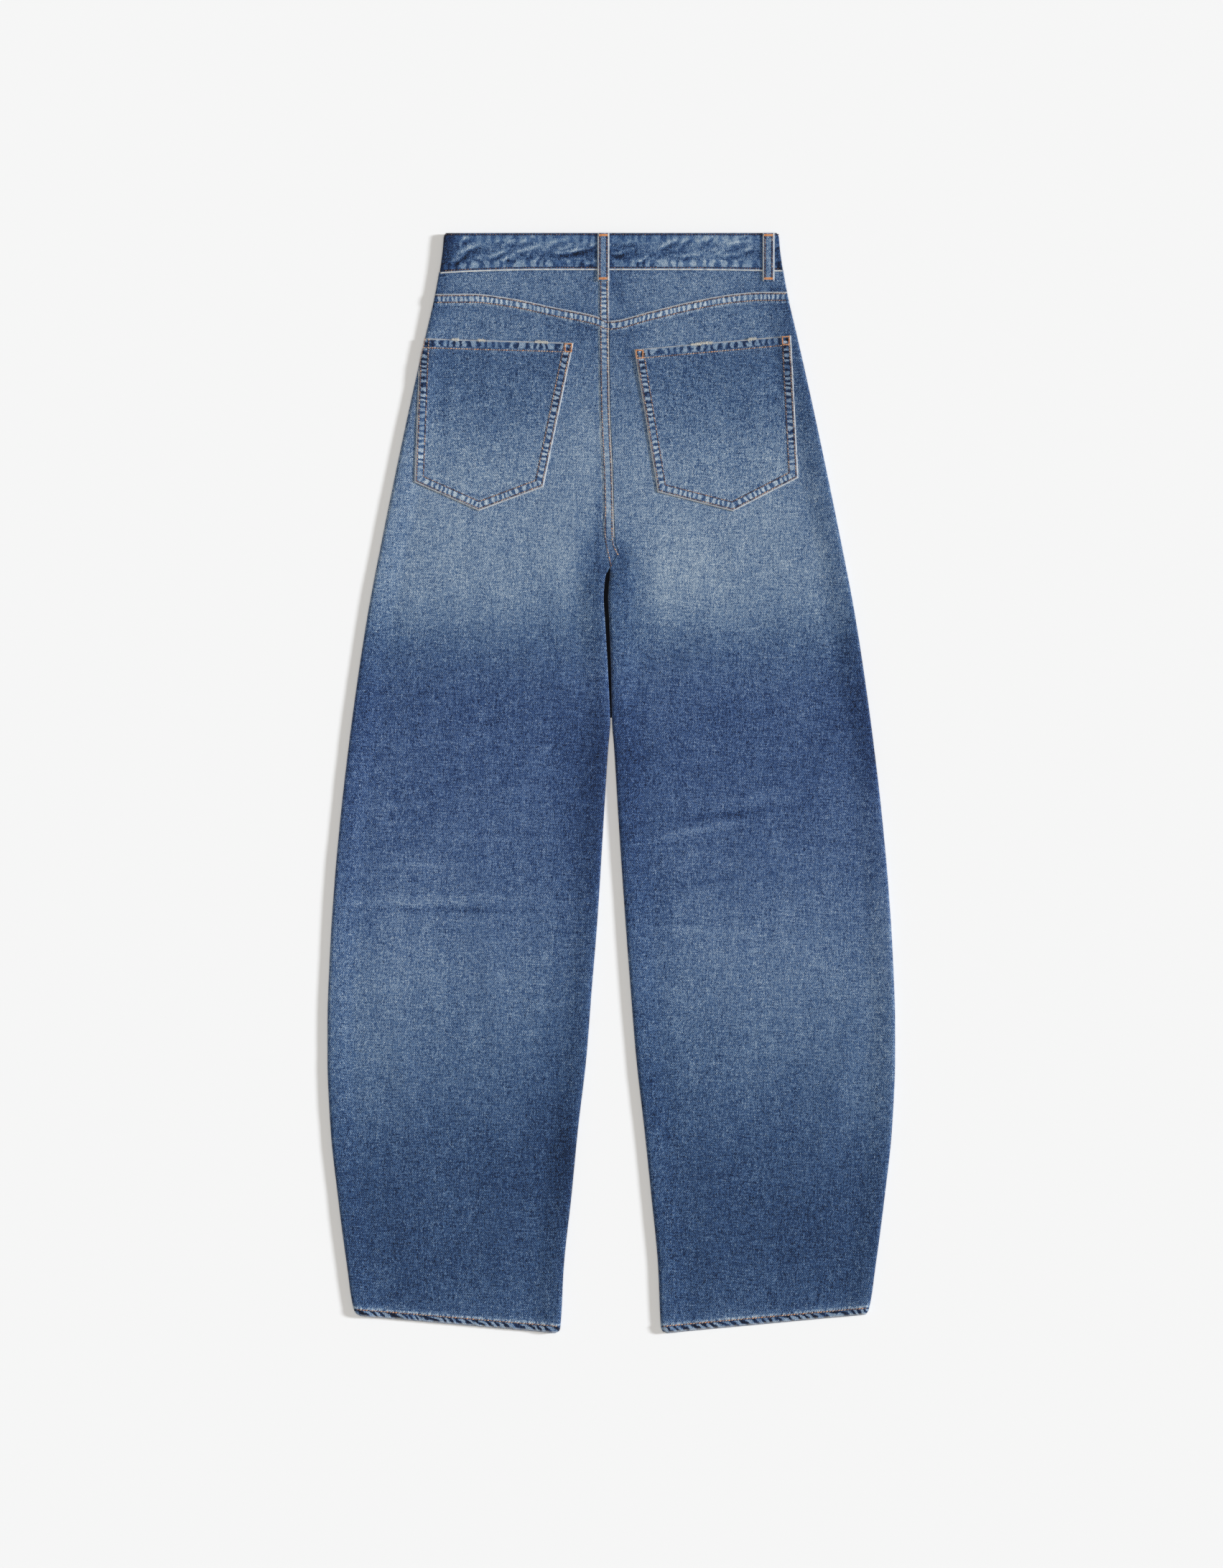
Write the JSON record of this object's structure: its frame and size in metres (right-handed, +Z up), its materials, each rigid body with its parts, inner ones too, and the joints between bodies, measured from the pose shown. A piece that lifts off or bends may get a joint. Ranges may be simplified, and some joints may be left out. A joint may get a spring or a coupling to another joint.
{
  "type": "barrel leg trousers",
  "caption": "Barrel leg denim trousers laid flat, back upward, with curved full legs, yokes, back patch pockets, waistband and belt loops.",
  "frame": {"origin": "centre of the bounding box in X and Y, on the surface the trousers lie on", "axes": "+Z up, out of the back of the garment; +Y from the hems toward the waist; +X to the right seen from above"},
  "size_m": [0.553, 1.0716, 0.0093],
  "materials": {
    "denim_front": "washed indigo denim",
    "denim_back": "washed indigo denim, faded on the thigh and calf",
    "denim_pale": "washed indigo denim, paler",
    "denim_pocket": "washed indigo denim",
    "copper": "dull copper"
  },
  "bodies": {
    "root": {"front_left": "denim_front", "front_right": "denim_front", "back_left": "denim_back", "back_right": "denim_back", "yoke_left": "denim_pale", "yoke_right": "denim_pale", "pocket_left": "denim_pocket", "pocket_right": "denim_pocket", "waistband": "denim_pale", "loop_back_centre": "denim_back", "loop_back_right": "denim_back", "loop_side_left": "denim_back", "loop_front_left": "denim_back", "loop_front_right": "denim_back", "waist_button": "copper"}
  },
  "joints": []
}
